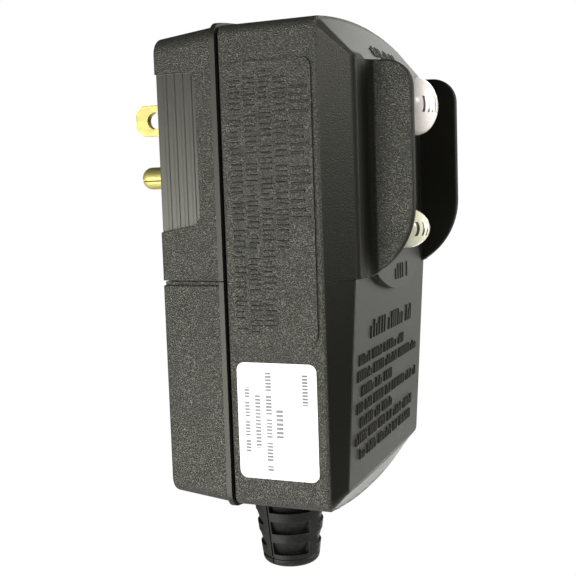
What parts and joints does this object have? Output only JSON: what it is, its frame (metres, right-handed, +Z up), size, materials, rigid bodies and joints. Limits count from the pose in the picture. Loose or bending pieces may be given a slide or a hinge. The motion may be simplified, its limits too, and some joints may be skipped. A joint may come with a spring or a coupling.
{
  "type": "rcd adapter plug",
  "caption": "Plug-in residual current adapter: black two-part case, flat blades and earth pin, guarded reset and test buttons, rear wiring cover, cord grommet below.",
  "frame": {"origin": "on the flat back face that meets the wall outlet, midway between the two flat blades", "axes": "+Y out of the back face, the way the blades point; +Z up, away from the cord entry; +X to the right of someone who faces the buttons and looks along +Y"},
  "size_m": [0.0572, 0.066, 0.1117],
  "materials": {
    "case_black": "spark-eroded matt black moulding",
    "button_white": "smooth white moulding",
    "button_cream": "smooth cream moulding",
    "lens_clear": "clear red light pipe",
    "blade_brass": "bright stamped brass",
    "grommet_black": "flexible black moulding",
    "label_white": "satin white sticker",
    "steel_zinc": "bright zinc plate",
    "spring_steel": "drawn wire",
    "board_green": "solder-masked board",
    "frame_grey": "plain moulding",
    "block_ivory": "plain moulding",
    "copper_winding": "enamelled copper",
    "ferrite_dark": "sintered core",
    "contact_silver": "silver alloy",
    "component_dark": "epoxy moulding",
    "component_blue": "coated disc",
    "component_yellow": "boxed film",
    "component_tan": "coated body"
  },
  "bodies": {
    "case": {"front_housing": "case_black", "rear_housing": "case_black", "wiring_cover": "case_black", "reset_spring": "spring_steel", "test_spring": "spring_steel", "switch_frame": "frame_grey", "reset_leaf": "blade_brass", "test_leaf": "blade_brass", "switch_studs": "contact_silver", "indicator_lens": "lens_clear", "indicator_lamp": "lens_clear", "line_blade": "blade_brass", "neutral_blade": "blade_brass", "ground_pin": "blade_brass", "ground_strap": "blade_brass", "circuit_board": "board_green", "terminal_block": "block_ivory", "terminal_plates": "blade_brass", "terminal_washers": "steel_zinc", "terminal_screws": "steel_zinc", "cord_clamp": "frame_grey", "clamp_screws": "steel_zinc", "case_screws": "steel_zinc", "cover_screws": "steel_zinc", "cord_grommet": "grommet_black", "relay_yoke": "steel_zinc", "relay_core": "steel_zinc", "relay_bobbin": "component_dark", "relay_coil": "copper_winding", "fixed_contacts": "blade_brass", "armature_spring": "spring_steel", "sensor_case": "component_dark", "sensor_cores": "ferrite_dark", "sensor_windings": "copper_winding", "sensor_conductors": "copper_winding", "control_chip": "component_dark", "varistor": "component_blue", "film_capacitor": "component_yellow", "filter_capacitor": "component_dark", "resistors": "component_tan", "diodes": "component_dark", "thyristor": "component_dark", "side_label": "label_white"},
    "reset_button": {"reset_button": "button_white"},
    "test_button": {"test_button": "button_cream"},
    "armature": {"relay_armature": "steel_zinc", "contact_carrier": "component_dark", "moving_springs": "blade_brass", "moving_contacts": "contact_silver"}
  },
  "joints": [
    {"name": "reset_press", "type": "slide", "parent": "case", "child": "reset_button", "axis": [0, 1, 0], "range_m": [0, 0.003], "stiffness_N_per_m": 250, "springref_m": -0.004, "deforming": ["reset_spring"]},
    {"name": "test_press", "type": "slide", "parent": "case", "child": "test_button", "axis": [0, 1, 0], "range_m": [0, 0.002], "stiffness_N_per_m": 250, "springref_m": -0.004, "deforming": ["test_spring"]},
    {"name": "armature_swing", "type": "hinge", "parent": "case", "child": "armature", "pos_m": [-0.0127, -0.0305, 0.0025], "axis": [1, 0, 0], "range_deg": [0, 5], "stiffness_Nm_per_rad": 0.02, "springref_deg": -5.73, "deforming": ["armature_spring"]}
  ]
}
